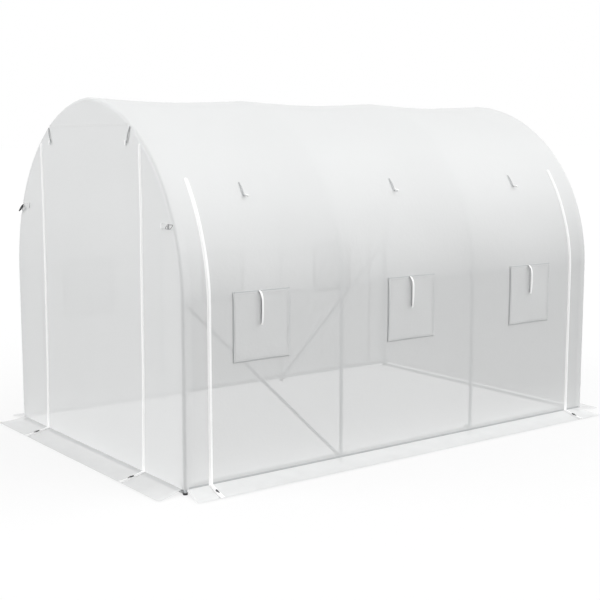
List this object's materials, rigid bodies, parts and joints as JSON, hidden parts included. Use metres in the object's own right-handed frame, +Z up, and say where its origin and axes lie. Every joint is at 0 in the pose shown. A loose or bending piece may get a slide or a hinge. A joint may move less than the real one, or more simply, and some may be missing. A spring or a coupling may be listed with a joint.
{
  "type": "polytunnel greenhouse",
  "caption": "Walk-in polytunnel greenhouse: steel hoops and purlins under a translucent film cover with a zipped door, roll-up sides, flap windows and a ground skirt.",
  "frame": {"origin": "on the ground, in the middle of the tunnel's plan", "axes": "+Y along the tunnel away from the zipped door end, +X to the right seen from the door end, +Z up"},
  "size_m": [2.266, 3.316, 1.975],
  "materials": {
    "galvanised_steel": "dull galvanised tube",
    "grey_plastic": "moulded, matte",
    "dark_plastic": "moulded, satin",
    "white_plastic": "moulded, satin",
    "cover_film": "milky translucent polyethylene film, slight sheen",
    "white_tape": "woven polyester tape",
    "dark_webbing": "woven webbing"
  },
  "bodies": {
    "root": {"left_legs": "galvanised_steel", "right_legs": "galvanised_steel", "leg_feet": "dark_plastic", "front_bows": "galvanised_steel", "second_bows": "galvanised_steel", "third_bows": "galvanised_steel", "back_bows": "galvanised_steel", "hoop_sleeves": "galvanised_steel", "ridge_purlin": "galvanised_steel", "left_purlin": "galvanised_steel", "right_purlin": "galvanised_steel", "left_base_rail": "galvanised_steel", "right_base_rail": "galvanised_steel", "front_ground_bar": "galvanised_steel", "back_ground_bar": "galvanised_steel", "right_front_brace": "galvanised_steel", "left_back_brace": "galvanised_steel", "ridge_clamps": "grey_plastic", "side_clamps": "grey_plastic", "roof_cover": "cover_film", "right_curtain": "cover_film", "left_curtain": "cover_film", "right_wings": "cover_film", "left_wings": "cover_film", "front_gable": "cover_film", "front_left_panel": "cover_film", "front_right_panel": "cover_film", "front_door": "cover_film", "back_wall": "cover_film", "front_skirt": "cover_film", "right_skirt": "cover_film", "left_skirt": "cover_film", "back_skirt": "cover_film", "front_door_zips": "white_tape", "right_curtain_zips": "white_tape", "left_curtain_zips": "white_tape", "zip_sliders": "dark_plastic", "right_window_flaps": "cover_film", "left_window_flaps": "cover_film", "window_meshes": "white_tape", "window_straps": "white_tape", "tie_straps": "dark_webbing", "tie_toggles": "white_plastic", "shoulder_loops": "white_tape", "loop_rings": "dark_plastic"}
  },
  "joints": []
}
